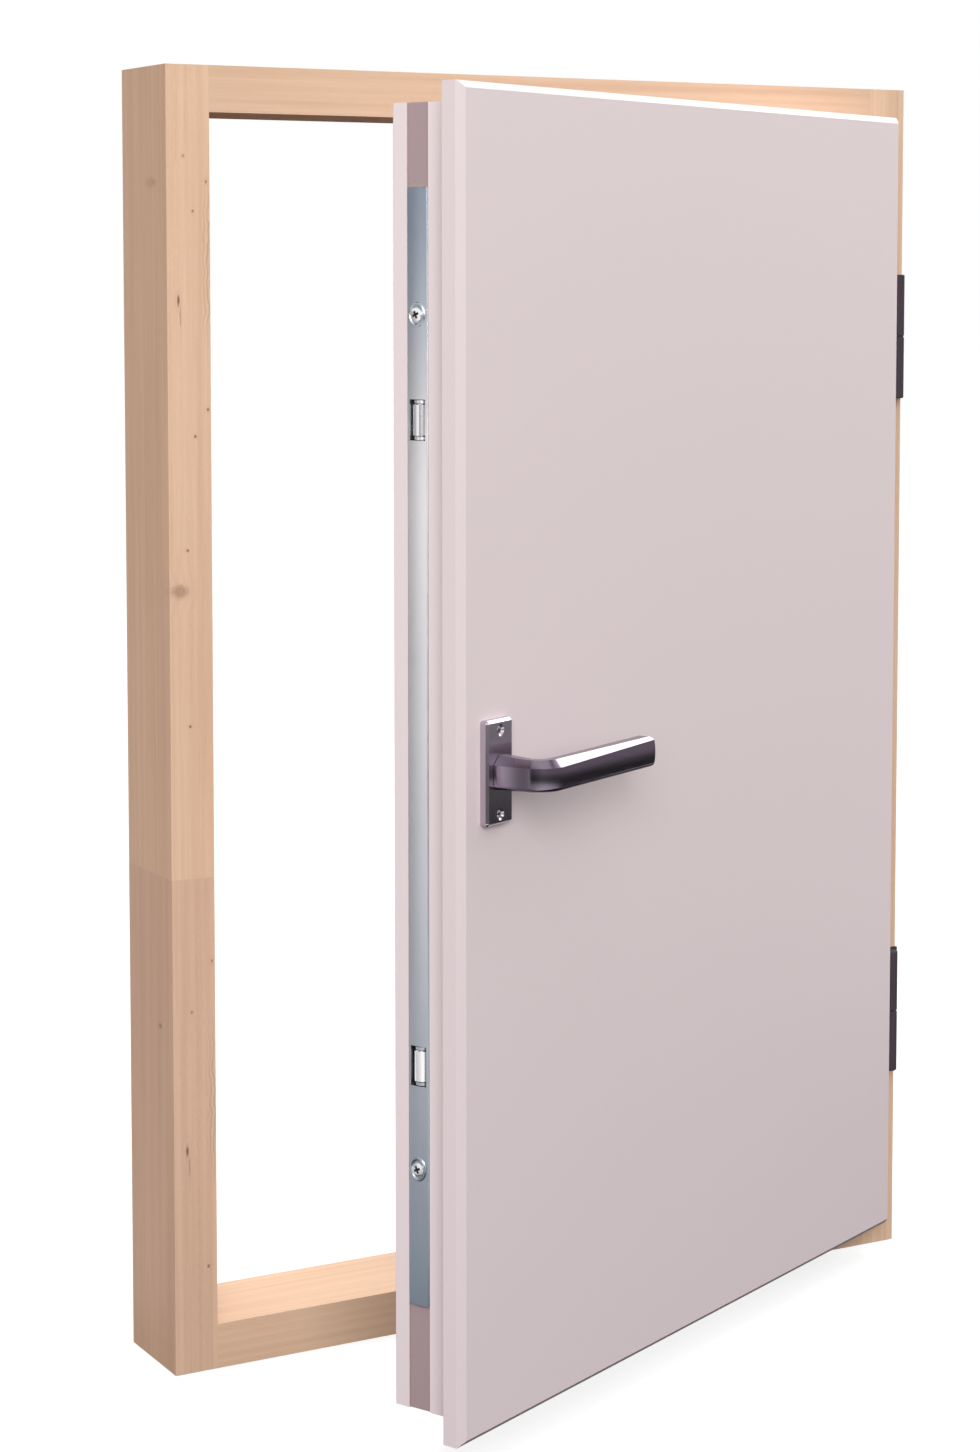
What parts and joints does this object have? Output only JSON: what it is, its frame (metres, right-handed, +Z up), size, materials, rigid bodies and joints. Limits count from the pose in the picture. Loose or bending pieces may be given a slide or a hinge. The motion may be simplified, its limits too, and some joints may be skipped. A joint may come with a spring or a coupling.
{
  "type": "crawl space door",
  "caption": "Insulated crawl space door: a bevelled painted leaf on dark lift-off hinges in a plain wooden frame, with a lever handle that drives roller bolts in a lock rail.",
  "frame": {"origin": "middle of the sill's underside, where the frame sits in the wall opening", "axes": "+Z up, +X to the hinge side, +Y inwards through the wall; the outside faces -Y"},
  "size_m": [0.68, 0.4029, 1],
  "materials": {
    "frame_wood": "satin",
    "leaf_paint": "satin",
    "insulation": "matte",
    "galvanised_steel": "satin",
    "polished_steel": "polished",
    "satin_metal": "satin",
    "dark_hinge": "satin",
    "hinge_pin": "satin"
  },
  "bodies": {
    "frame": {"lock_jamb": "frame_wood", "hinge_jamb": "frame_wood", "head": "frame_wood", "sill": "frame_wood", "upper_strike": "galvanised_steel", "lower_strike": "galvanised_steel", "upper_hinge_frame_half": "dark_hinge", "lower_hinge_frame_half": "dark_hinge", "upper_hinge_pin": "hinge_pin", "lower_hinge_pin": "hinge_pin"},
    "leaf": {"front_panel": "leaf_paint", "lock_stile": "leaf_paint", "hinge_stile": "leaf_paint", "top_rail": "leaf_paint", "bottom_rail": "leaf_paint", "insulation_core": "insulation", "back_panel": "leaf_paint", "lock_rail": "galvanised_steel", "handle_plate": "satin_metal", "upper_hinge_leaf_half": "dark_hinge", "lower_hinge_leaf_half": "dark_hinge"},
    "handle": {"lever": "satin_metal", "spindle": "satin_metal"},
    "upper_bolt_body": {"upper_bolt": "galvanised_steel", "upper_roller": "polished_steel"},
    "lower_bolt_body": {"lower_bolt": "galvanised_steel", "lower_roller": "polished_steel"}
  },
  "joints": [
    {"name": "door_swing", "type": "hinge", "parent": "frame", "child": "leaf", "pos_m": [0.3265, -0.0545, 0.5], "axis": [0, 0, 1], "range_deg": [-25, 90]},
    {"name": "handle_turn", "type": "hinge", "parent": "leaf", "child": "handle", "pos_m": [-0.21487, -0.31798, 0.499], "axis": [-0.4226, 0.9063, 0], "range_deg": [0, 90]},
    {"name": "upper_bolt_slide", "type": "slide", "parent": "leaf", "child": "upper_bolt_body", "axis": [-0.9063, -0.4226, 0], "range_m": [0, 0.018]},
    {"name": "lower_bolt_slide", "type": "slide", "parent": "leaf", "child": "lower_bolt_body", "axis": [-0.9063, -0.4226, 0], "range_m": [0, 0.018]}
  ],
  "couplings": [
    {"joint": "upper_bolt_slide", "follows": "handle_turn", "m_per_rad": 0.011459},
    {"joint": "lower_bolt_slide", "follows": "handle_turn", "m_per_rad": 0.011459}
  ]
}
